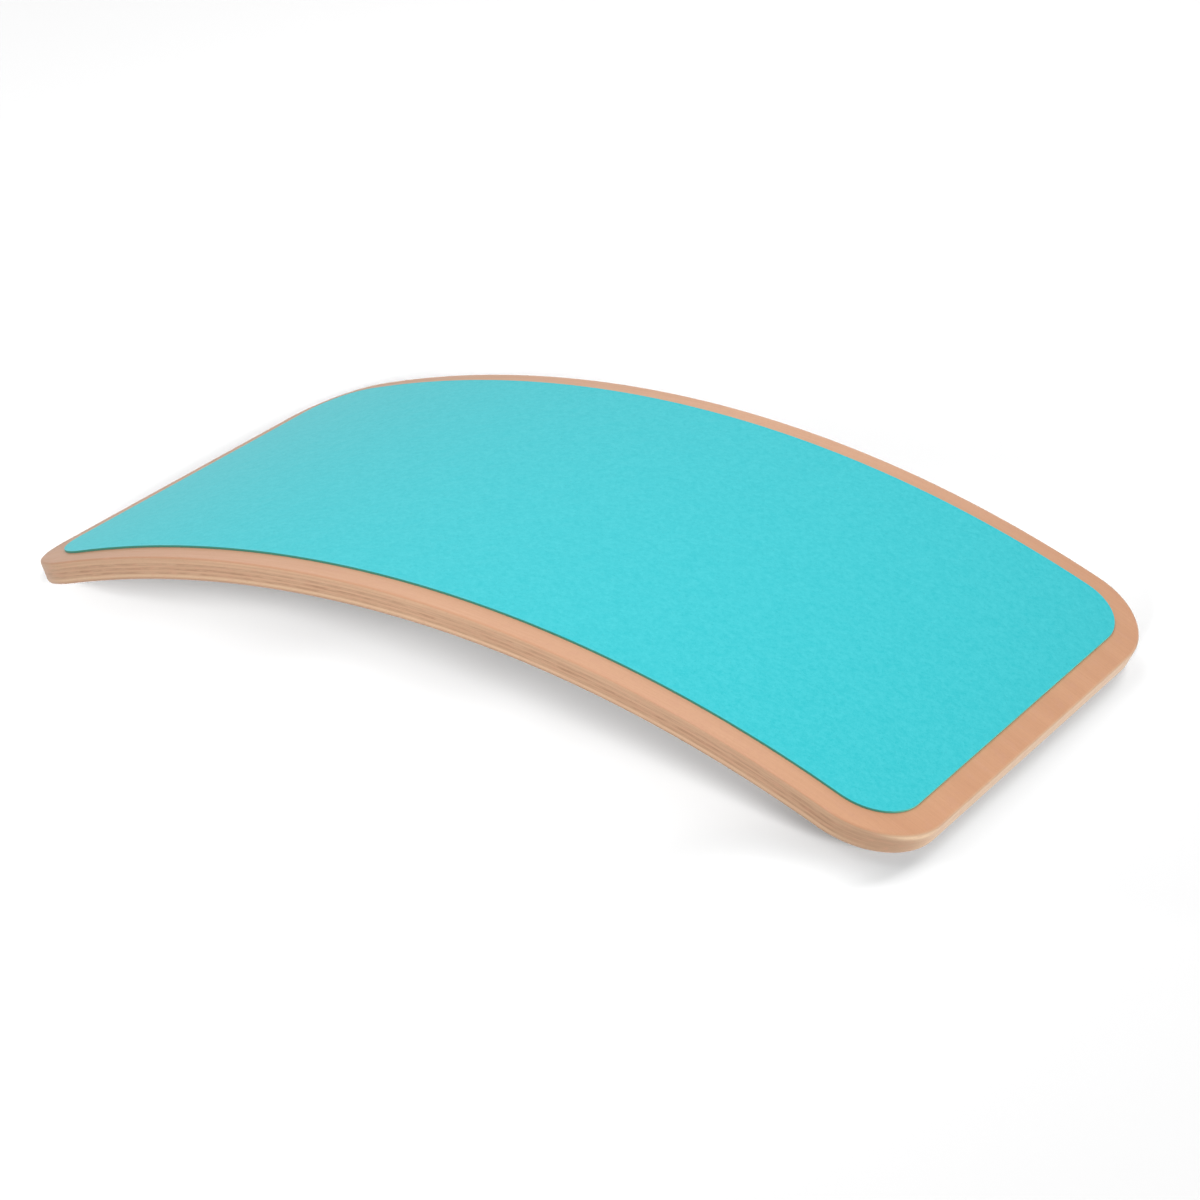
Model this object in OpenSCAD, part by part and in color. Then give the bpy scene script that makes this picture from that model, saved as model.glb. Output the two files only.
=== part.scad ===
// Curved balance board: moulded plywood arch with a felt cover on its convex face.
// The board lies convex side up, as a bridge, on the lower edges of its two ends.
// Origin: floor level under the middle of the arch. +X along the board, +Y across it, +Z up.

/* [Board] */
// Width across the two long edges
board_w = 350; // [260:1:450]
// Length from end to end, measured along the convex wood face
board_len = 690; // [500:1:900]
// Radius of the convex wood face along the length
convex_r = 815; // [600:1:1400]
// Corner radius of the board's outline
corner_r = 52; // [15:1:90]

/* [Plywood] */
// Thickness of each of the two face veneers
face_ply_t = 0.8; // [0.5:0.1:1.5]
// Thickness of each long-grain ply next to a face veneer, two on either side
long_ply_t = 1.7; // [1:0.1:2.5]
// Thickness of each of the three cross-grain plies
cross_ply_t = 1.4; // [0.8:0.1:2.5]
// Thickness of each long-grain ply between the cross-grain plies
core_ply_t = 1.4; // [0.8:0.1:2.5]

/* [Felt cover] */
// Thickness of the felt
felt_t = 1.5; // [0.8:0.1:4]
// Thickness of the adhesive film under the felt
adhesive_t = 0.15; // [0.05:0.05:0.4]
// Bare wood left along each long edge
felt_side_margin = 17; // [5:1:60]
// Bare wood left at each end, measured along the convex face
felt_end_margin = 18; // [5:1:60]
// Corner radius of the felt
felt_corner_r = 35; // [5:1:80]

/* [Hidden] */

// Thickness of every ply, from the convex face down
lay_up = [
    face_ply_t, long_ply_t, long_ply_t,
    cross_ply_t, core_ply_t, cross_ply_t, core_ply_t, cross_ply_t,
    long_ply_t, long_ply_t, face_ply_t,
];

// Depth of a ply's upper face below the convex wood face
function ply_depth(n) = n == 0 ? 0 : ply_depth(n - 1) + lay_up[n - 1];

board_t = ply_depth(len(lay_up));

// Angle from the middle of the arch to a point some way along the convex face
function arc_angle(length) = length / convex_r * 180 / PI;

board_end_angle = arc_angle(board_len / 2);
felt_end_angle = arc_angle(board_len / 2 - felt_end_margin);
felt_w = board_w - 2 * felt_side_margin;

// Height of the arch's axis, which puts the lower edges of the two ends on the floor
axis_z = -(convex_r - board_t) * cos(board_end_angle);

// Angle and width that the bent sheets have in hand before they are cut to their outline
trim_angle = 1;
trim_w = 10;

arc_fn = 720;
corner_fn = 96;

felt_colour = [0.32, 0.83, 0.86];
adhesive_colour = [0.86, 0.84, 0.76];
face_colour = [0.87, 0.69, 0.57];
long_colour = [0.86, 0.73, 0.61];
core_colour = [0.81, 0.66, 0.55];
cross_colour = [0.73, 0.57, 0.46];

// Sheet bent round the arch's axis, larger all round than the piece that is cut from it
module bent_sheet(outer_r, thickness, width, end_angle) {
    sweep = 2 * (end_angle + trim_angle);
    rotate([90, 0, 0])
        rotate([0, 0, 90 - sweep / 2])
            rotate_extrude(angle = sweep, $fn = arc_fn)
                translate([outer_r - thickness, -width / 2 - trim_w])
                    square([thickness, width + 2 * trim_w]);
}

// Outline of one end seen along its cutter: straight end at x = 0, rounded corners, long sides running inwards
module end_outline(width, radius, reach) {
    translate([0, radius - width / 2])
        square([reach, width - 2 * radius]);
    translate([radius, -width / 2])
        square([reach - radius, width]);
    for (side = [-1, 1])
        translate([radius, side * (width / 2 - radius)])
            circle(radius, $fn = corner_fn);
}

// Cutter for the end at +X, square to the sheet there, so the end face is a flat radial face
module end_cutter(width, radius, end_angle) {
    reach = 2 * convex_r;
    rotate([0, end_angle, 0])
        translate([0, 0, -reach])
            mirror([1, 0, 0])
                linear_extrude(2 * reach)
                    end_outline(width, radius, reach);
}

// Layer of the board: a bent sheet cut to a rounded outline at both ends
module layer(outer_r, thickness, width, radius, end_angle) {
    translate([0, 0, axis_z])
        intersection() {
            bent_sheet(outer_r, thickness, width, end_angle);
            end_cutter(width, radius, end_angle);
            mirror([1, 0, 0])
                end_cutter(width, radius, end_angle);
        }
}

module ply(n) {
    layer(convex_r - ply_depth(n), lay_up[n], board_w, corner_r, board_end_angle);
}

module felt_layer(height, thickness) {
    layer(convex_r + height + thickness, thickness, felt_w, felt_corner_r, felt_end_angle);
}

module felt_cover() {
    color(felt_colour) felt_layer(adhesive_t, felt_t);
}

module felt_adhesive() {
    color(adhesive_colour) felt_layer(0, adhesive_t);
}

module top_face_veneer() {
    color(face_colour) ply(0);
}

module upper_long_ply_outer() {
    color(long_colour) ply(1);
}

module upper_long_ply_inner() {
    color(long_colour) ply(2);
}

module upper_cross_ply() {
    color(cross_colour) ply(3);
}

module upper_core_ply() {
    color(core_colour) ply(4);
}

module middle_cross_ply() {
    color(cross_colour) ply(5);
}

module lower_core_ply() {
    color(core_colour) ply(6);
}

module lower_cross_ply() {
    color(cross_colour) ply(7);
}

module lower_long_ply_inner() {
    color(long_colour) ply(8);
}

module lower_long_ply_outer() {
    color(long_colour) ply(9);
}

module bottom_face_veneer() {
    color(face_colour) ply(10);
}

felt_cover();
felt_adhesive();
top_face_veneer();
upper_long_ply_outer();
upper_long_ply_inner();
upper_cross_ply();
upper_core_ply();
middle_cross_ply();
lower_core_ply();
lower_cross_ply();
lower_long_ply_inner();
lower_long_ply_outer();
bottom_face_veneer();
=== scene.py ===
import math

import bpy
import numpy as np
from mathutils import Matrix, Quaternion, Vector


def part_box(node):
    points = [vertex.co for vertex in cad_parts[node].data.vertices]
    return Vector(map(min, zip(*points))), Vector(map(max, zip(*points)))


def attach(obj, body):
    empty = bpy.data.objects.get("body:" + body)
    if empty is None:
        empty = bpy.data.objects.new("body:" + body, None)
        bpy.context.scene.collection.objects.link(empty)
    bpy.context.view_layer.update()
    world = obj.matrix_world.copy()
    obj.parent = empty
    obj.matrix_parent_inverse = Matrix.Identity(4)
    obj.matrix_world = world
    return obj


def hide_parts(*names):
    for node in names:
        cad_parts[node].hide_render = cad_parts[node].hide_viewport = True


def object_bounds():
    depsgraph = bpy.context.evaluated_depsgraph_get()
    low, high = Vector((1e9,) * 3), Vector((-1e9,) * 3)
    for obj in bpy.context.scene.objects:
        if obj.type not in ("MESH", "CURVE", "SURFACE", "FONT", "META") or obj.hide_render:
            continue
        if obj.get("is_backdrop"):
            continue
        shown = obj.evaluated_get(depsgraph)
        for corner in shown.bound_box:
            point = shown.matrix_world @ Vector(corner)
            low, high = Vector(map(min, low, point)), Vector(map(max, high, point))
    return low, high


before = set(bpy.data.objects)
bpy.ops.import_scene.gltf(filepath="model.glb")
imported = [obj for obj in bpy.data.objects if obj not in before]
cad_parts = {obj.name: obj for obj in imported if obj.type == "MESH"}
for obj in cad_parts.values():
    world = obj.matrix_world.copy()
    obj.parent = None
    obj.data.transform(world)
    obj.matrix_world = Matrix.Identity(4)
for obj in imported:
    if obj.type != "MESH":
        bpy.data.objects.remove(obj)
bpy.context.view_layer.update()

print("frame loaded:", len(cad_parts), "nodes")

# Curved balance board: a pressed plywood arch, convex side up, with a felt cover. Lengths are in metres.
# A place on the arch is an angle from the crown, a distance across and a height over the convex wood face.

board = {
    "length": 0.690,  # along the convex face
    "convexRadius": 0.815,
    "cornerRadius": 0.052,
    "edgeRounding": 0.0020,  # sanded edge at both faces
    "roundingSteps": 12,
    "cornerSteps": 24,
    "stationStep": 0.005,  # along the arch
    "acrossSteps": 14,
    "endPower": 6,  # how late in a corner the look of the side gives way to that of the end
    "highlightPower": 4,  # how late in a corner its painted highlight, a thin pale band, comes
    "highlightDepth": 0.0034,  # middle of that band near the end
    "highlightHeight": 0.0020,
    "supportWidth": 0.0003,  # narrow border that keeps the faces flat up to their edges
    "glueHeight": 0.00010,  # how far a glue line shows into each ply
    "glueClear": 0.00015,  # the rounding has no row nearer to a glue line
    "glueFade": 0.8,  # how far the glue lines fade at the ends
    "glueStray": 0.00008,  # how far a glue line strays from its true depth
    "strayLengths": (0.23, 0.087, 0.14),  # two waves along the board and one across it
    "strayShares": (1.0, 0.6, 0.8),
    "strayShift": 2.4,  # radians from one glue line to the next
}

# From the convex face down, with how pale each veneer is at its upper and its lower side.
# Below 0 it is painted shade: how dark the wall is painted towards the board's lower edge.
plies = [
    {"node": "top_face_veneer", "thickness": 0.0008, "slot": "face_veneer", "palenessAndShade": (0.0, 0.0)},
    {"node": "upper_long_ply_outer", "thickness": 0.0017, "slot": "long_ply", "palenessAndShade": (0.10, 0.10)},
    {"node": "upper_long_ply_inner", "thickness": 0.0017, "slot": "long_ply", "palenessAndShade": (0.15, 0.15)},
    {"node": "upper_cross_ply", "thickness": 0.0014, "slot": "cross_ply", "palenessAndShade": (0.25, 0.25)},
    {"node": "upper_core_ply", "thickness": 0.0014, "slot": "core_ply", "palenessAndShade": (0.10, 0.10)},
    {"node": "middle_cross_ply", "thickness": 0.0014, "slot": "cross_ply", "palenessAndShade": (0.05, 0.05)},
    {"node": "lower_core_ply", "thickness": 0.0014, "slot": "core_ply", "palenessAndShade": (0.05, 0.05)},
    {"node": "lower_cross_ply", "thickness": 0.0014, "slot": "cross_ply", "palenessAndShade": (0.20, 0.20)},
    {"node": "lower_long_ply_inner", "thickness": 0.0017, "slot": "long_ply", "palenessAndShade": (0.15, 1.00)},
    # the lowest plies darken towards the lower edge: painted shade
    {"node": "lower_long_ply_outer", "thickness": 0.0017, "slot": "long_ply", "palenessAndShade": (0.70, -0.80)},
    {"node": "bottom_face_veneer", "thickness": 0.0008, "slot": "face_veneer", "palenessAndShade": (-0.30, 0.0)},
]

felt = {
    "thickness": 0.0015,
    "adhesive": 0.00015,
    "adhesiveInset": 0.0003,  # the film ends just inside the felt's edge
    "sideMargin": 0.017,  # bare wood along each long edge
    "endMargin": 0.018,  # bare wood at each end, along the convex face
    "cornerRadius": 0.035,
    "edgeRounding": 0.0003,
    "edgeSteps": 4,
    "gridStep": 0.0025,
    "relief": 0.00003,  # unevenness of the felt's surface
    "reliefLengths": (0.006, 0.05),  # shortest and longest wave
    "reliefWaves": 48,
    "seed": 7,
}

topLow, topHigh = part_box("top_face_veneer")
boardWidth = topHigh.y - topLow.y
axisHeight = topHigh.z - board["convexRadius"]
boardThickness = sum(ply["thickness"] for ply in plies)

boardCut = {
    "halfWidth": boardWidth / 2,
    "halfLength": board["length"] / 2,
    "cornerRadius": board["cornerRadius"],
    "step": board["stationStep"],
}
feltCut = {
    "halfWidth": boardWidth / 2 - felt["sideMargin"],
    "halfLength": board["length"] / 2 - felt["endMargin"],
    "cornerRadius": felt["cornerRadius"],
    "step": felt["gridStep"],
}


def archPoint(angle, across, height):
    # turned by the angle about the arch's axis, at the convex radius plus the height
    radius = board["convexRadius"] + height
    return np.stack([radius * np.sin(angle), across, axisHeight + radius * np.cos(angle)], axis=-1)


def cutStations(cut, height, inset):
    # Stations from the left end to the right, each with its angle, half width and turn. The turn is 0 at
    # an end and a quarter circle along the sides. A corner lies inset + r(1 - cos turn) from the end's plane
    # and inset + r(1 - sin turn) from the side, where r is the corner's radius less the inset. Its distance
    # from the end's plane, over the arch's radius there, is the sine of its angle back from the end.
    turn = np.linspace(0, math.pi / 2, board["cornerSteps"] + 1)
    corner = cut["cornerRadius"] - inset
    fromEnd = inset + corner * (1 - np.cos(turn))
    width = cut["halfWidth"] - inset - corner * (1 - np.sin(turn))
    endAngle = cut["halfLength"] / board["convexRadius"]
    angle = endAngle - np.arcsin(fromEnd / (board["convexRadius"] + height))
    straightSteps = round(2 * (cut["halfLength"] - cut["cornerRadius"]) / cut["step"])
    middle = np.linspace(-angle[-1], angle[-1], straightSteps + 1)[1:-1]
    angles = np.concatenate([-angle, middle, angle[::-1]])
    widths = np.concatenate([width, np.full(middle.size, width[-1]), width[::-1]])
    turns = np.concatenate([turn, np.full(middle.size, turn[-1]), turn[::-1]])
    return angles, widths, turns


def edgeLoop(stations, lines):
    # station and line numbers round a sheet, counterclockwise from above, starting along the near side
    nearSide = np.arange(stations)
    rightEnd = np.arange(1, lines)
    farSide = np.arange(stations - 2, -1, -1)
    leftEnd = np.arange(lines - 2, 0, -1)
    lastStation = np.full(lines - 1, stations - 1)
    lastLine = np.full(stations - 1, lines - 1)
    station = np.concatenate([nearSide, lastStation, farSide, np.zeros(lines - 2, int)])
    line = np.concatenate([np.zeros(stations, int), rightEnd, lastLine, leftEnd])
    return station, line


def gridCap(stations, lines):
    # quads of a full grid of stations and lines, facing up
    corner = (np.arange(stations - 1)[:, None] * lines + np.arange(lines - 1)).ravel()
    return np.stack([corner, corner + lines, corner + lines + 1, corner + 1], axis=1), []


def stripCap(stations, lines):
    # strips across an edge loop from the near side to the far one, with one polygon at each end, facing up
    near = np.arange(1, stations - 2)
    far = 2 * stations + lines - 3 - near
    loopLength = 2 * stations + 2 * lines - 4
    leftEnd = np.concatenate([[0, 1], np.arange(2 * stations + lines - 4, loopLength)])
    rightEnd = np.arange(stations - 2, stations + lines)
    return np.stack([near, near + 1, far - 1, far], axis=1), [leftEnd, rightEnd]


def buildLayer(name, cut, rows, lines, shownTop=False, shownUnder=False, relief=None, ply=None):
    # A layer is a closed surface: a cap, loops down its cut edge and a cap under it. A row gives a loop's
    # height and inset. A shown cap is a grid, which may have a relief, and a hidden one is a set of strips.
    # The marks are shares that the finishes read at each point.
    points, developed, faces, loops = [], [], [], []
    marks = {"glueLine": [], "cutEdge": [], "endWall": [], "oblique": [], "palenessAndShade": [], "paintedHighlight": []}
    upperPaleAndShade, lowerPaleAndShade = ply["palenessAndShade"] if ply else (0.0, 0.0)
    topHeight = rows[0]["height"]
    fullDepth = topHeight - rows[-1]["height"]
    count = 0
    for number, row in enumerate(rows):
        angles, widths, turns = cutStations(cut, row["height"], row["inset"])
        station, line = edgeLoop(angles.size, lines.size)
        isTop = number == 0
        isUnder = number == len(rows) - 1
        isGrid = (isTop and shownTop) or (isUnder and shownUnder)
        loop = count + np.arange(station.size)
        if isGrid:
            loop = count + station * lines.size + line
            station, line = np.indices((angles.size, lines.size)).reshape(2, -1)
        angle = angles[station]
        across = lines[line] * widths[station]
        along = angle * board["convexRadius"]
        height = row["height"] + stray(along, across, row["glueNumber"])
        if isGrid and relief is not None:
            height = height + relief(along, across)
        points.append(archPoint(angle, across, height))
        developed.append(np.stack([along, across, -height], axis=-1))
        turn = turns[station]
        onEnd = np.cos(turn) ** board["endPower"]
        throughShare = (topHeight - row["height"]) / fullDepth
        # below 0 this paleness is painted shade
        pale = upperPaleAndShade + (lowerPaleAndShade - upperPaleAndShade) * throughShare
        marks["glueLine"].append(row["glue"] * (1 - board["glueFade"] * onEnd))
        marks["cutEdge"].append(np.full(angle.size, row["side"]))
        marks["endWall"].append(row["side"] * onEnd)
        marks["oblique"].append(row["side"] * np.sin(2 * turn) ** 2)
        marks["palenessAndShade"].append(np.full(angle.size, pale))
        # painted highlight under the corners' upper edge
        marks["paintedHighlight"].append(row["side"] * paintedHighlightShare(turn, -row["height"]))
        if isTop or isUnder:
            quads, ends = (gridCap if isGrid else stripCap)(angles.size, lines.size)
            order = 1 if isTop else -1
            faces += (quads + count)[:, ::order].tolist()
            faces += [(end + count)[::order].tolist() for end in ends]
        if loops:
            upper = loops[-1]
            faces += np.stack([upper, loop, np.roll(loop, -1), np.roll(upper, -1)], axis=1).tolist()
        loops.append(loop)
        count += angle.size
    mesh = bpy.data.meshes.new(name)
    mesh.from_pydata(np.concatenate(points).tolist(), [], faces)
    mesh.polygons.foreach_set("use_smooth", np.ones(len(mesh.polygons), bool))
    caps = ((loops[0], shownTop), (loops[-1], shownUnder))
    markSharp(mesh, [loop for loop, shown in caps if not shown])
    addAttribute(mesh, "developed", "FLOAT_VECTOR", "vector", np.concatenate(developed))
    for mark, values in marks.items():
        addAttribute(mesh, mark, "FLOAT", "value", np.concatenate(values))
    mesh.update()
    piece = bpy.data.objects.new(name, mesh)
    bpy.context.scene.collection.objects.link(piece)
    return piece


def paintedHighlightShare(turn, depth):
    # a painted highlight, a band round each corner: a power of the turn's cosine, times the sine of twice
    # the turn, times a bell curve of the depth about a middle that rises with the same power towards the
    # side
    late = np.cos(turn) ** board["highlightPower"]
    middle = board["highlightDepth"] * late
    return late * np.sin(2 * turn) * np.exp(-((depth - middle) / board["highlightHeight"]) ** 2)


def stray(along, across, glueNumber):
    # a glue line's slow waves along and across the board, shifted from one line to the next
    if glueNumber is None:
        return np.zeros(along.size)
    longWave, shortWave, acrossWave = board["strayLengths"]
    longShare, shortShare, acrossShare = board["strayShares"]
    shift = glueNumber * board["strayShift"]
    waves = longShare * np.sin(2 * math.pi * along / longWave + shift)
    waves = waves + shortShare * np.sin(2 * math.pi * along / shortWave + 2 * shift)
    waves = waves + acrossShare * np.sin(2 * math.pi * across / acrossWave + 3 * shift)
    return board["glueStray"] / 2 * waves


def markSharp(mesh, loops):
    # an edge is sharp if both its ends lie on one of the loops
    pairs = np.zeros(2 * len(mesh.edges), np.int32)
    mesh.edges.foreach_get("vertices", pairs)
    pairs = pairs.reshape(-1, 2)
    sharp = np.zeros(len(mesh.edges), bool)
    for loop in loops:
        onLoop = np.zeros(len(mesh.vertices), bool)
        onLoop[loop] = True
        sharp |= onLoop[pairs].all(axis=1)
    addAttribute(mesh, "sharp_edge", "BOOLEAN", "value", sharp, "EDGE")


def addAttribute(mesh, name, kind, field, values, domain="POINT"):
    attribute = mesh.attributes.get(name) or mesh.attributes.new(name, kind, domain)
    attribute.data.foreach_set(field, values.ravel())


def plyRows(number, depth, thickness):
    # Rows down a ply's edge, each marked with its level, its glue line and how far it shows the glue. The
    # rounding draws an edge in by r - sqrt(r² - x²), where x is how far the row lies beyond the rounding's
    # level end.
    rounding = board["edgeRounding"]
    glue = board["glueHeight"]
    clear = board["glueClear"]
    under = depth + thickness
    bend = rounding * (1 - np.cos(np.linspace(0, math.pi / 2, board["roundingSteps"] + 1)))
    nearFace = bend[(bend > 0) & (bend < clear)]
    levels = np.concatenate([bend, boardThickness - bend[::-1]])
    inner = levels[(levels > depth + clear) & (levels < under - clear)]
    if number == 0:
        marked = [(depth, None, 0.0)]
        marked += [(level, None, 0.0) for level in nearFace]
    else:
        marked = [(depth, number, 1.0), (depth + glue, number, 0.0)]
    marked += [(level, None, 0.0) for level in inner]
    if number == len(plies) - 1:
        marked += [(boardThickness - level, None, 0.0) for level in nearFace[::-1]]
        marked += [(under, None, 0.0)]
    else:
        marked += [(under - glue, number + 1, 0.0), (under, number + 1, 1.0)]
    rows = []
    for level, glueNumber, glueShare in marked:
        beyond = max(rounding - level, level - (boardThickness - rounding), 0.0)
        side = 1 - (beyond / rounding) ** 2
        inset = rounding - math.sqrt(max(rounding ** 2 - beyond ** 2, 0.0))
        row = {"height": -level, "inset": inset, "side": side}
        row["glueNumber"] = glueNumber
        row["glue"] = glueShare
        rows.append(row)
    return rows


def faceLines():
    # lines across a face, as shares of its half width, with a narrow border at each side
    border = board["supportWidth"] / boardCut["halfWidth"]
    inner = np.linspace(-1 + border, 1 - border, board["acrossSteps"] + 1)
    return np.concatenate([[-1.0], inner, [1.0]])


hiddenLines = np.array([-1.0, 0.0, 1.0])

pieces = {}
depth = 0.0
for number, ply in enumerate(plies):
    isTop = ply["node"] == "top_face_veneer"
    isUnder = ply["node"] == "bottom_face_veneer"
    pieces[ply["node"]] = buildLayer(
        ply["node"] + "_finish",
        boardCut,
        plyRows(number, depth, ply["thickness"]),
        faceLines() if isTop or isUnder else hiddenLines,
        shownTop=isTop,
        shownUnder=isUnder,
        ply=ply,
    )
    depth += ply["thickness"]
print("board built:", len(plies), "plies,", round(depth * 1000, 2), "mm thick")


def feltRelief(along, across):
    # a sum of plane waves with seeded directions, lengths and phases, scaled to the relief and lowered by
    # twice the relief
    draw = np.random.default_rng(felt["seed"])
    shortest, longest = felt["reliefLengths"]
    total = np.zeros(along.size)
    for wave in range(felt["reliefWaves"]):
        length = shortest * (longest / shortest) ** draw.random()
        heading = draw.random() * 2 * math.pi
        phase = draw.random() * 2 * math.pi
        distance = along * math.cos(heading) + across * math.sin(heading)
        total += np.sin(2 * math.pi * distance / length + phase)
    return felt["relief"] * total / math.sqrt(felt["reliefWaves"] / 2) - 2 * felt["relief"]


def feltRows():
    # a small rounding at the felt's upper edge, then its straight cut down to the adhesive
    top = felt["adhesive"] + felt["thickness"]
    rounding = felt["edgeRounding"]
    turn = np.linspace(0, math.pi / 2, felt["edgeSteps"] + 1)
    heights = np.append(top - rounding * (1 - np.cos(turn)), felt["adhesive"])
    insets = np.append(rounding * (1 - np.sin(turn)), 0.0)
    sides = np.append(np.sin(turn) ** 2, 1.0)
    return [
        {"height": height, "inset": inset, "glueNumber": None, "glue": 0.0, "side": side}
        for height, inset, side in zip(heights, insets, sides)
    ]


feltSteps = round(2 * feltCut["halfWidth"] / felt["gridStep"])
feltLines = np.linspace(-1, 1, feltSteps + 1)
pieces["felt_cover"] = buildLayer(
    "felt_cover_finish",
    feltCut,
    feltRows(),
    feltLines,
    shownTop=True,
    relief=feltRelief,
)
filmRows = [
    {"height": height, "inset": felt["adhesiveInset"], "glueNumber": None, "glue": 0.0, "side": 1.0}
    for height in (felt["adhesive"], 0.0)
]
pieces["felt_adhesive"] = buildLayer("felt_adhesive_finish", feltCut, filmRows, hiddenLines)
print("felt built:", len(pieces["felt_cover"].data.polygons), "faces")


def addNode(tree, kind, values=None, **options):
    node = tree.nodes.new("ShaderNode" + kind)
    for key, value in options.items():
        setattr(node, key, value)
    for socket, value in (values or {}).items():
        if isinstance(value, bpy.types.NodeSocket):
            tree.links.new(value, node.inputs[socket])
        else:
            node.inputs[socket].default_value = value
    return node


def attributeOf(tree, name, output):
    return addNode(tree, "Attribute", attribute_name=name).outputs[output]


def grainNoise(tree, space, sizes, detail=2.0, distortion=0.0, roughness=0.55):
    # noise whose lumps have these sizes along the board, across it and in its depth
    scaled = addNode(tree, "Mapping", {"Vector": space, "Scale": [1 / size for size in sizes]})
    values = {"Vector": scaled.outputs["Vector"], "Scale": 1.0, "Detail": detail}
    values["Distortion"] = distortion
    values["Roughness"] = roughness
    return addNode(tree, "TexNoise", values).outputs["Fac"]


def ranged(tree, value, low, high, toLow=0.0, toHigh=1.0):
    values = {"Value": value, "From Min": low, "From Max": high, "To Min": toLow, "To Max": toHigh}
    return addNode(tree, "MapRange", values).outputs["Result"]


def maths(tree, operation, first, second):
    return addNode(tree, "Math", {0: first, 1: second}, operation=operation).outputs["Value"]


def mixed(tree, share, first, second):
    # the Mix node's colour sockets are numbers 6 and 7, and its colour output is number 2
    values = {0: share, 6: first, 7: second}
    return addNode(tree, "Mix", values, data_type="RGBA").outputs[2]


def colour(red, green, blue):
    return (red, green, blue, 1.0)


def newMaterial(name):
    material = bpy.data.materials.new(name)
    material.use_nodes = True
    return material, material.node_tree, material.node_tree.nodes["Principled BSDF"]


def drifted(tree, space, base, drift):
    # painted shade: the tone's slow change from the left end of the board to the right, by the drift's
    # stops, darker towards the ends
    half = board["length"] / 2
    along = addNode(tree, "SeparateXYZ", {"Vector": space}).outputs["X"]
    ramp = addNode(tree, "ValToRGB", {"Fac": ranged(tree, along, -half, half)})
    setStops(ramp, [(place, colour(*shares)) for place, shares in drift])
    values = {0: 1.0, 6: base, 7: ramp.outputs["Color"]}
    return addNode(tree, "Mix", values, data_type="RGBA", blend_type="MULTIPLY").outputs[2]


def setStops(ramp, stops):
    elements = ramp.color_ramp.elements
    while len(elements) < len(stops):
        elements.new(1.0)
    for element, (place, shade) in zip(elements, stops):
        element.position = place
        element.color = shade


# painted shade along the board, darker towards its ends: places from the left end of the board, 0, to
# the right one, 1, with shares of red, green and blue there
drifts = {
    "face": (
        (0.0, (0.78, 0.77, 0.735)),
        (0.26, (0.93, 0.93, 0.94)),
        (0.54, (1.0, 1.0, 1.0)),
        (0.79, (0.96, 0.94, 0.93)),
        (1.0, (0.95, 0.87, 0.79)),
    ),
    "edge": (
        (0.0, (0.86, 0.87, 0.88)),
        (0.26, (0.96, 0.96, 0.96)),
        (0.50, (1.0, 1.0, 1.0)),
        (0.82, (0.93, 0.92, 0.92)),
        (0.93, (0.82, 0.82, 0.81)),
    ),
}

# sizes of the figure, streaks, pores and dashes are along the board, across it and in its depth
woods = {
    "face_veneer": {
        "pale": colour(0.742, 0.428, 0.268),
        "deep": colour(0.678, 0.374, 0.228),
        "sap": colour(0.74, 0.45, 0.29),  # where a veneer is pale
        "pores": colour(0.47, 0.225, 0.12),  # and where it is dark; also the colour of painted shade where the paleness is below 0
        "end": colour(0.87, 0.59, 0.378),  # where the grain is cut across
        "dash": colour(0.81, 0.53, 0.333),
        "figure": (0.30, 0.022, 0.02),
        "streak": (0.05, 0.0011, 0.002),
        "pore": (0.0024, 0.00035, 0.0004),
        "dashes": (0.012, 0.006, 0.0008),
        "poreShare": 0.25,
        # deeper tone of the rounded long edges: sanding, and painted shade at the lower face
        "sandedAndShaded": colour(0.625, 0.335, 0.200),
        "sandedAndShadedShare": 0.8,
        "drift": "face",
    },
    "long_ply": {
        "pale": colour(0.684, 0.421, 0.264),
        "deep": colour(0.590, 0.350, 0.214),
        "sap": colour(0.810, 0.554, 0.353),
        "pores": colour(0.44, 0.25, 0.15),
        "end": colour(0.84, 0.57, 0.365),
        "dash": colour(0.78, 0.515, 0.325),
        "figure": (0.10, 0.012, 0.0012),
        "streak": (0.022, 0.0008, 0.0005),
        "pore": (0.0024, 0.00035, 0.0003),
        "dashes": (0.012, 0.010, 0.0008),
        "poreShare": 0.30,
        "drift": "edge",
    },
    "core_ply": {
        "pale": colour(0.684, 0.416, 0.260),
        "deep": colour(0.585, 0.342, 0.209),
        "sap": colour(0.763, 0.512, 0.334),
        "pores": colour(0.43, 0.245, 0.148),
        "end": colour(0.83, 0.56, 0.362),
        "dash": colour(0.77, 0.505, 0.318),
        "figure": (0.08, 0.012, 0.0010),
        "streak": (0.018, 0.0008, 0.0005),
        "pore": (0.0024, 0.00035, 0.0003),
        "dashes": (0.012, 0.010, 0.0008),
        "poreShare": 0.30,
        "drift": "edge",
    },
    "cross_ply": {
        "pale": colour(0.83, 0.56, 0.362),
        "deep": colour(0.77, 0.505, 0.318),
        "sap": colour(0.721, 0.470, 0.308),
        "pores": colour(0.40, 0.22, 0.13),
        "end": colour(0.617, 0.369, 0.230),
        "dash": colour(0.468, 0.257, 0.149),
        "figure": (0.014, 0.09, 0.0009),
        "streak": (0.0010, 0.022, 0.0006),
        "pore": (0.00035, 0.0024, 0.0003),
        "dashes": (0.011, 0.010, 0.0009),
        "poreShare": 0.30,
        "drift": "edge",
    },
}

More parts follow.
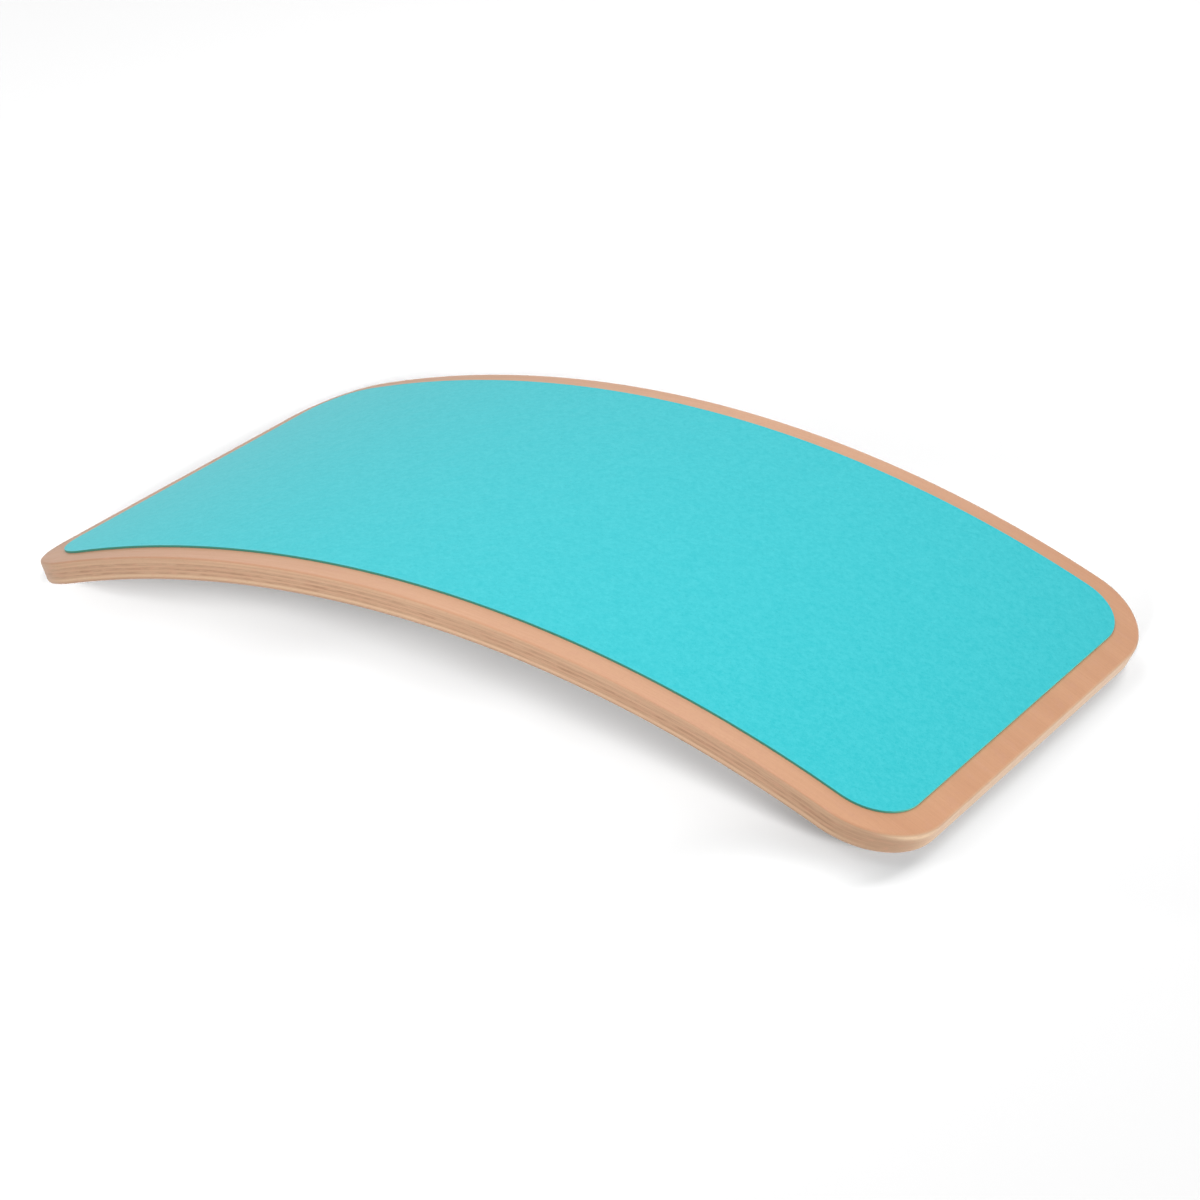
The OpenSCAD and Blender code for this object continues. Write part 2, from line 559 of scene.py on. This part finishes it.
lacquer = {
    "figureShare": 0.55,  # of the tone, and the streaks have the rest
    "toneRange": (0.36, 0.64),
    "poreRange": (0.58, 0.70),
    "dashRange": (0.40, 0.62),
    "sandedAndShadedReach": 0.25,  # how far round the edge the sanded tone, painted shade at the lower face, is full
    "roughness": (0.40, 0.52),
    "roughnessRange": (0.3, 0.7),
    "specular": 0.30,
    "coat": 0.06,
    "coatRoughness": 0.25,
    "grainBump": 0.00003,
    "bumpStrength": 0.5,
    "glueColour": colour(0.36, 0.19, 0.105),
    "glueShare": 0.45,
    "oblique": colour(0.500, 0.305, 0.190),  # where a corner cuts every ply at a slant
    "obliqueShare": 0.80,
    "paintedHighlight": colour(0.97, 0.70, 0.46),  # painted highlight: a thin pale band under the corners' upper edge
    "paintedHighlightShare": 1.848,
    "blush": colour(0.66, 0.345, 0.225),  # pinkish patches in the wood
    "blushSize": (0.008, 0.007, 0.0022),
    "blushRange": (0.50, 0.70),
    "blushShare": 0.35,
}


def woodFinish(slot):
    # Veneer under clear lacquer: a slow figure, fine streaks and short dark pores, each stretched along the
    # grain, and pinkish patches. Where the grain is cut across, darker dashes lie along the layer. The face
    # veneer is deeper in tone where it is sanded round at the edge, and at the lower face that tone is also
    # painted shade. Painted shade darkens the tone towards the ends of the board and down the lowest plies,
    # and a painted highlight lies under the corners' upper edge.
    look = woods[slot]
    material, tree, shader = newMaterial(slot + "_lacquered")
    space = attributeOf(tree, "developed", "Vector")
    figure = grainNoise(tree, space, look["figure"], detail=2.0, distortion=0.5)
    streak = grainNoise(tree, space, look["streak"], detail=4.0)
    pore = grainNoise(tree, space, look["pore"], detail=1.0)
    dashes = grainNoise(tree, space, look["dashes"], detail=3.0, distortion=0.3)
    blush = grainNoise(tree, space, lacquer["blushSize"], detail=2.0)
    figureTone = maths(tree, "MULTIPLY", figure, lacquer["figureShare"])
    streakTone = maths(tree, "MULTIPLY", streak, 1 - lacquer["figureShare"])
    tone = maths(tree, "ADD", figureTone, streakTone)
    poreMask = ranged(tree, pore, *lacquer["poreRange"])
    cutEdge = attributeOf(tree, "cutEdge", "Fac")
    endWall = attributeOf(tree, "endWall", "Fac")
    longWall = maths(tree, "SUBTRACT", cutEdge, endWall)
    offEnd = maths(tree, "SUBTRACT", 1.0, endWall)
    base = mixed(tree, ranged(tree, tone, *lacquer["toneRange"]), look["deep"], look["pale"])
    # the sanded tone, also painted shade at the lower face's rounding
    if "sandedAndShaded" in look:
        sandedAndShaded = ranged(tree, longWall, 0.0, lacquer["sandedAndShadedReach"], 0.0, look["sandedAndShadedShare"])
        base = mixed(tree, sandedAndShaded, base, look["sandedAndShaded"])
    endTone = mixed(tree, ranged(tree, dashes, *lacquer["dashRange"]), look["end"], look["dash"])
    base = mixed(tree, longWall if slot == "cross_ply" else endWall, base, endTone)
    palenessAndShade = maths(tree, "MULTIPLY", attributeOf(tree, "palenessAndShade", "Fac"), offEnd)
    base = mixed(tree, palenessAndShade, base, look["sap"])
    # below 0 the paleness is painted shade, in the pore colour
    base = mixed(tree, maths(tree, "MULTIPLY", palenessAndShade, -1.0), base, look["pores"])
    # painted shade towards the ends of the board
    base = mixed(tree, offEnd, base, drifted(tree, space, base, drifts[look["drift"]]))
    oblique = maths(tree, "MULTIPLY", attributeOf(tree, "oblique", "Fac"), lacquer["obliqueShare"])
    base = mixed(tree, oblique, base, lacquer["oblique"])
    # painted highlight: a pale band under the corners' upper edge
    paintedHighlight = maths(tree, "MULTIPLY", attributeOf(tree, "paintedHighlight", "Fac"), lacquer["paintedHighlightShare"])
    base = mixed(tree, paintedHighlight, base, lacquer["paintedHighlight"])
    blushMask = ranged(tree, blush, *lacquer["blushRange"], 0.0, lacquer["blushShare"])
    base = mixed(tree, blushMask, base, lacquer["blush"])
    base = mixed(tree, maths(tree, "MULTIPLY", poreMask, look["poreShare"]), base, look["pores"])
    glueShare = maths(tree, "MULTIPLY", attributeOf(tree, "glueLine", "Fac"), lacquer["glueShare"])
    base = mixed(tree, glueShare, base, lacquer["glueColour"])
    smoothest, roughest = lacquer["roughness"]
    roughness = ranged(tree, streak, *lacquer["roughnessRange"], roughest, smoothest)
    relief = {"Height": maths(tree, "SUBTRACT", streak, poreMask)}
    relief["Strength"] = lacquer["bumpStrength"]
    relief["Distance"] = lacquer["grainBump"]
    bump = addNode(tree, "Bump", relief)
    tree.links.new(base, shader.inputs["Base Color"])
    tree.links.new(roughness, shader.inputs["Roughness"])
    tree.links.new(bump.outputs["Normal"], shader.inputs["Normal"])
    shader.inputs["Specular IOR Level"].default_value = lacquer["specular"]
    shader.inputs["Coat Weight"].default_value = lacquer["coat"]
    shader.inputs["Coat Roughness"].default_value = lacquer["coatRoughness"]
    return material


feltLook = {
    "pale": colour(0.053, 0.628, 0.694),
    "deep": colour(0.010, 0.535, 0.600),
    "speck": colour(0.006, 0.42, 0.48),
    # the cut edge along the sides: a dark cut, deepened by painted shade
    "cut": colour(0.065, 0.31, 0.23),
    # the cut edge at the ends, lightened as painted light
    "paintedLitCutAtEnds": colour(0.20, 0.90, 0.72),
    "fibre": (0.0019, 0.00040, 0.0006),  # length, width and depth of a tuft of fibres
    "headings": (0.15, 0.80, 1.35, 2.05, 2.65),  # radians from the board's length
    "fibreShare": 0.7,  # of the tone, and the clouds have the rest
    "cloud": (0.0032, 0.0030, 0.003),
    "toneRange": (0.40, 0.60),
    "speckSize": (0.0012, 0.0009, 0.001),
    "speckRange": (0.66, 0.78),
    "speckShare": 0.6,
    "cutRange": (0.3, 1.0),  # how far round the upper edge the cut's tone starts and is full
    "roughness": (0.86, 0.98),
    "roughnessRange": (0.35, 0.65),
    "specular": 0.2,
    "sheen": 0.30,
    "sheenRoughness": 0.5,
    "sheenTint": colour(0.82, 1.0, 1.0),
    "bump": 0.00012,
    "bumpStrength": 0.8,
}


def feltFinish():
    # needled felt: tufts of fibres in several headings over soft clouds of tone, with darker specks, and a
    # cut edge that is dark along the sides, a dark cut deepened by painted shade, and pale at the ends,
    # where it is painted lit
    material, tree, shader = newMaterial("felt_turquoise")
    space = attributeOf(tree, "developed", "Vector")
    tufts = None
    for heading in feltLook["headings"]:
        turned = addNode(tree, "VectorRotate", {"Vector": space, "Angle": heading}, rotation_type="Z_AXIS")
        tuft = grainNoise(tree, turned.outputs["Vector"], feltLook["fibre"], detail=2.0, distortion=0.8)
        tufts = tuft if tufts is None else maths(tree, "ADD", tufts, tuft)
    fibres = maths(tree, "DIVIDE", tufts, float(len(feltLook["headings"])))
    cloud = grainNoise(tree, space, feltLook["cloud"], detail=4.0)
    speck = grainNoise(tree, space, feltLook["speckSize"], detail=1.0)
    fibreTone = maths(tree, "MULTIPLY", fibres, feltLook["fibreShare"])
    cloudTone = maths(tree, "MULTIPLY", cloud, 1 - feltLook["fibreShare"])
    tone = maths(tree, "ADD", fibreTone, cloudTone)
    base = mixed(tree, ranged(tree, tone, *feltLook["toneRange"]), feltLook["deep"], feltLook["pale"])
    specks = ranged(tree, speck, *feltLook["speckRange"], 0.0, feltLook["speckShare"])
    base = mixed(tree, specks, base, feltLook["speck"])
    cutShare = ranged(tree, attributeOf(tree, "cutEdge", "Fac"), *feltLook["cutRange"])
    # painted shade along the sides and painted light at the ends of the cut edge
    cutToneAndPaintedLight = mixed(tree, attributeOf(tree, "endWall", "Fac"), feltLook["cut"], feltLook["paintedLitCutAtEnds"])
    base = mixed(tree, cutShare, base, cutToneAndPaintedLight)
    smoothest, roughest = feltLook["roughness"]
    roughness = ranged(tree, fibres, *feltLook["roughnessRange"], smoothest, roughest)
    relief = {"Height": fibres, "Strength": feltLook["bumpStrength"], "Distance": feltLook["bump"]}
    bump = addNode(tree, "Bump", relief)
    tree.links.new(base, shader.inputs["Base Color"])
    tree.links.new(roughness, shader.inputs["Roughness"])
    tree.links.new(bump.outputs["Normal"], shader.inputs["Normal"])
    shader.inputs["Specular IOR Level"].default_value = feltLook["specular"]
    shader.inputs["Sheen Weight"].default_value = feltLook["sheen"]
    shader.inputs["Sheen Roughness"].default_value = feltLook["sheenRoughness"]
    shader.inputs["Sheen Tint"].default_value = feltLook["sheenTint"]
    return material


film = {
    "clear": colour(0.66, 0.60, 0.46),
    "cloudy": colour(0.74, 0.71, 0.60),
    "patch": (0.004, 0.004, 0.004),
    "patchRange": (0.4, 0.6),
    "roughness": (0.30, 0.55),
}


def filmFinish():
    # dried adhesive with cloudy patches
    material, tree, shader = newMaterial("adhesive_film")
    space = attributeOf(tree, "developed", "Vector")
    patch = grainNoise(tree, space, film["patch"], detail=3.0)
    base = mixed(tree, ranged(tree, patch, *film["patchRange"]), film["clear"], film["cloudy"])
    roughness = ranged(tree, patch, *film["patchRange"], *film["roughness"])
    tree.links.new(base, shader.inputs["Base Color"])
    tree.links.new(roughness, shader.inputs["Roughness"])
    return material


finishes = {slot: woodFinish(slot) for slot in woods}
finishes["felt"] = feltFinish()
finishes["adhesive"] = filmFinish()
slots = {ply["node"]: ply["slot"] for ply in plies}
slots["felt_cover"] = "felt"
slots["felt_adhesive"] = "adhesive"
for node, piece in pieces.items():
    piece.data.materials.append(finishes[slots[node]])
    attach(piece, "root")
    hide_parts(node)

print("finishes set:", len(finishes), "materials")

stage = {
    "floorSize": 40.0,
    "floorColour": colour(0.070, 0.070, 0.070),  # a matt grey that its strong lamps take to white
    "tableLight": 0.95,  # radiance of the lit table, as the board sees it
    "shadedLight": 0.35,  # the same under the middle of the board, a painted shade in the glow
    "shadedReach": (0.335, 0.205),  # how far the shade reaches along the board and across it
    "shadedFade": 0.6,  # how far in from that reach the shade is full
    "wallLight": 1.10,  # radiance of the white sweep round the board
    "wallSteps": ((0.0, 1.0), (0.42, 0.86), (0.65, 0.38), (1.0, 0.32)),  # sine of elevation, and share
    "shownWall": 1.0,  # what a camera sees past the floor
}

# The softbox lights the board alone. The others light the floor alone, and together they leave the board's
# soft shadow under its near edge and off its right end.
lamps = {
    "overhead_softbox": {
        "lights": "board",
        "kind": "AREA",
        "place": (0.22, -0.32, 1.25),
        "aim": (0.05, 0.0, 0.05),
        "size": 0.9,
        "power": 9.5,
    },
    "floor_back": {
        "lights": "floor",
        "kind": "SUN",
        "place": (-0.03, 0.92, 0.38),
        "aim": (0.00, 0.00, 0.00),
        "spread": 26.0,  # degrees
        "power": 44.0,
    },
    "floor_front": {
        "lights": "floor",
        "kind": "SUN",
        "place": (0.23, -0.95, 0.20),
        "aim": (0.00, 0.00, 0.00),
        "spread": 9.0,
        "power": 40.8,
    },
    "floor_right": {
        "lights": "floor",
        "kind": "SUN",
        "place": (0.81, -0.47, 0.34),
        "aim": (0.00, 0.00, 0.00),
        "spread": 13.0,
        "power": 42.7,
    },
    "near_left_bulb": {
        "lights": "floor",
        "kind": "POINT",
        "place": (-0.540, -0.400, 0.075),
        "size": 0.05,
        "power": 151.0,
    },
    "left_bulb": {
        "lights": "floor",
        "kind": "POINT",
        "place": (-0.495, 0.300, 0.160),
        "size": 0.05,
        "power": 8.85,
    },
    "far_bulb": {
        "lights": "floor",
        "kind": "POINT",
        "place": (-0.150, 0.735, 0.435),
        "size": 0.20,
        "power": 63.9,
    },
    "front_bulb": {
        "lights": "floor",
        "kind": "POINT",
        "place": (0.085, -0.290, 0.215),
        "size": 0.05,
        "power": 8.64,
    },
    "far_right_bulb": {
        "lights": "floor",
        "kind": "POINT",
        "place": (0.210, 0.230, 0.150),
        "size": 0.05,
        "power": 3.42,
    },
    "near_right_pool": {
        "lights": "floor",
        "kind": "SPOT",
        "place": (0.295, -0.245, 1.000),
        "aim": (0.295, -0.245, 0.000),
        "reach": 0.087,  # radius of its pool of light
        "size": 0.02,
        "power": 317.0,
        "shadow": False,  # it only brightens the floor
    },
    "front_left_spot": {
        "lights": "floor",
        "kind": "SPOT",
        "place": (-0.155, -1.265, 0.500),
        "aim": (-0.155, -0.365, 0.000),
        "reach": 0.139,
        "size": 0.02,
        "power": 546.0,
    },
    "front_spot": {
        "lights": "floor",
        "kind": "SPOT",
        "place": (-0.030, -1.180, 0.500),
        "aim": (-0.030, -0.280, 0.000),
        "reach": 0.119,
        "size": 0.02,
        "power": 499.0,
    },
    "under_arch_spot": {
        "lights": "floor",
        "kind": "SPOT",
        "place": (0.140, -1.040, 0.500),
        "aim": (0.140, -0.140, 0.000),
        "reach": 0.154,
        "size": 0.02,
        "power": 286.0,
    },
}


def mixedShader(tree, share, first, second):
    return addNode(tree, "MixShader", {0: share, 1: first, 2: second}).outputs["Shader"]


def buildFloor():
    # A square under the lowest point of the board, open to a camera below it. Its glow lights the board as a
    # lit table does, with a painted shade in that glow under the board, and it shows a camera the board's
    # shadow.
    half = stage["floorSize"] / 2
    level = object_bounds()[0].z
    corners = [(-half, -half, level), (half, -half, level), (half, half, level), (-half, half, level)]
    mesh = bpy.data.meshes.new("floor")
    mesh.from_pydata(corners, [], [(0, 1, 2, 3)])
    floor = bpy.data.objects.new("floor", mesh)
    bpy.context.scene.collection.objects.link(floor)
    material, tree, shader = newMaterial("floor_white")
    matt = addNode(tree, "BsdfDiffuse", {"Color": stage["floorColour"]})
    reachAlong, reachAcross = stage["shadedReach"]
    space = addNode(tree, "TexCoord").outputs["Object"]
    scaled = addNode(tree, "Mapping", {"Vector": space, "Scale": (1 / reachAlong, 1 / reachAcross, 1.0)})
    under = addNode(tree, "TexGradient", {"Vector": scaled.outputs["Vector"]}, gradient_type="SPHERICAL")
    shade = under.outputs["Fac"]
    glow = ranged(tree, shade, 0.0, stage["shadedFade"], stage["tableLight"], stage["shadedLight"])
    table = addNode(tree, "Emission", {"Strength": glow})
    clear = addNode(tree, "BsdfTransparent")
    fromCamera = addNode(tree, "LightPath").outputs["Is Camera Ray"]
    fromBelow = addNode(tree, "NewGeometry").outputs["Backfacing"]
    above = mixedShader(tree, fromCamera, table.outputs["Emission"], matt.outputs["BSDF"])
    sides = mixedShader(tree, fromBelow, above, clear.outputs["BSDF"])
    tree.links.new(sides, tree.nodes["Material Output"].inputs["Surface"])
    tree.nodes.remove(shader)
    mesh.materials.append(material)
    floor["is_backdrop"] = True
    return floor


def buildSurround():
    # a white sweep that is brightest near the horizon
    world = bpy.data.worlds.new("studio")
    world.use_nodes = True
    tree = world.node_tree
    heading = addNode(tree, "TexCoord").outputs["Generated"]
    rise = addNode(tree, "SeparateXYZ", {"Vector": heading}).outputs["Z"]
    ramp = addNode(tree, "ValToRGB", {"Fac": rise})
    setStops(ramp, [(place, colour(share, share, share)) for place, share in stage["wallSteps"]])
    light = maths(tree, "MULTIPLY", ramp.outputs["Color"], stage["wallLight"])
    fromCamera = addNode(tree, "LightPath").outputs["Is Camera Ray"]
    strength = addNode(tree, "Mix", {0: fromCamera, 2: light, 3: stage["shownWall"]}).outputs[0]
    tree.nodes["Background"].inputs["Color"].default_value = colour(1.0, 1.0, 1.0)
    tree.links.new(strength, tree.nodes["Background"].inputs["Strength"])
    bpy.context.scene.world = world


def buildLamp(name, lamp, receivers):
    # a spot's cone is as wide as its reach where it is aimed, and fades from its middle to its rim
    data = bpy.data.lights.new(name, lamp["kind"])
    data.energy = lamp["power"]
    data.use_shadow = lamp.get("shadow", True)
    holder = bpy.data.objects.new(name, data)
    holder.location = lamp["place"]
    if "aim" in lamp:
        heading = Vector(lamp["aim"]) - Vector(lamp["place"])
        holder.rotation_mode = "QUATERNION"
        holder.rotation_quaternion = heading.to_track_quat("-Z", "Y")
    if lamp["kind"] == "AREA":
        data.size = lamp["size"]
    elif lamp["kind"] == "SUN":
        data.angle = math.radians(lamp["spread"])
    else:
        data.shadow_soft_size = lamp["size"]
    if lamp["kind"] == "SPOT":
        data.spot_size = 2 * math.atan(lamp["reach"] / heading.length)
        data.spot_blend = 1.0
    holder.light_linking.receiver_collection = receivers[lamp["lights"]]
    bpy.context.scene.collection.objects.link(holder)


def receiverGroup(name, members):
    group = bpy.data.collections.new(name)
    for member in members:
        group.objects.link(member)
    return group


view = {
    "place": (1.1079, -1.6374, 1.0226),
    "aim": (0.0531, -0.0544, 0.0500),  # what the middle of the picture looks at
    "roll": -0.2185,  # degrees
    "lens": 102.60,  # millimetres
    "sensor": 36.0,
}


def buildCamera():
    data = bpy.data.cameras.new("camera")
    data.lens = view["lens"]
    data.sensor_width = view["sensor"]
    camera = bpy.data.objects.new("camera", data)
    camera.location = view["place"]
    heading = Vector(view["aim"]) - Vector(view["place"])
    turn = Quaternion((0, 0, 1), math.radians(view["roll"]))
    camera.rotation_mode = "QUATERNION"
    camera.rotation_quaternion = heading.to_track_quat("-Z", "Y") @ turn
    bpy.context.scene.collection.objects.link(camera)
    bpy.context.scene.camera = camera


receivers = {
    "floor": receiverGroup("lit_floor", [buildFloor()]),
    "board": receiverGroup("lit_board", pieces.values()),
}
buildSurround()
for name, lamp in lamps.items():
    buildLamp(name, lamp, receivers)
buildCamera()
bpy.context.scene.view_settings.view_transform = "Standard"
print("stage set")
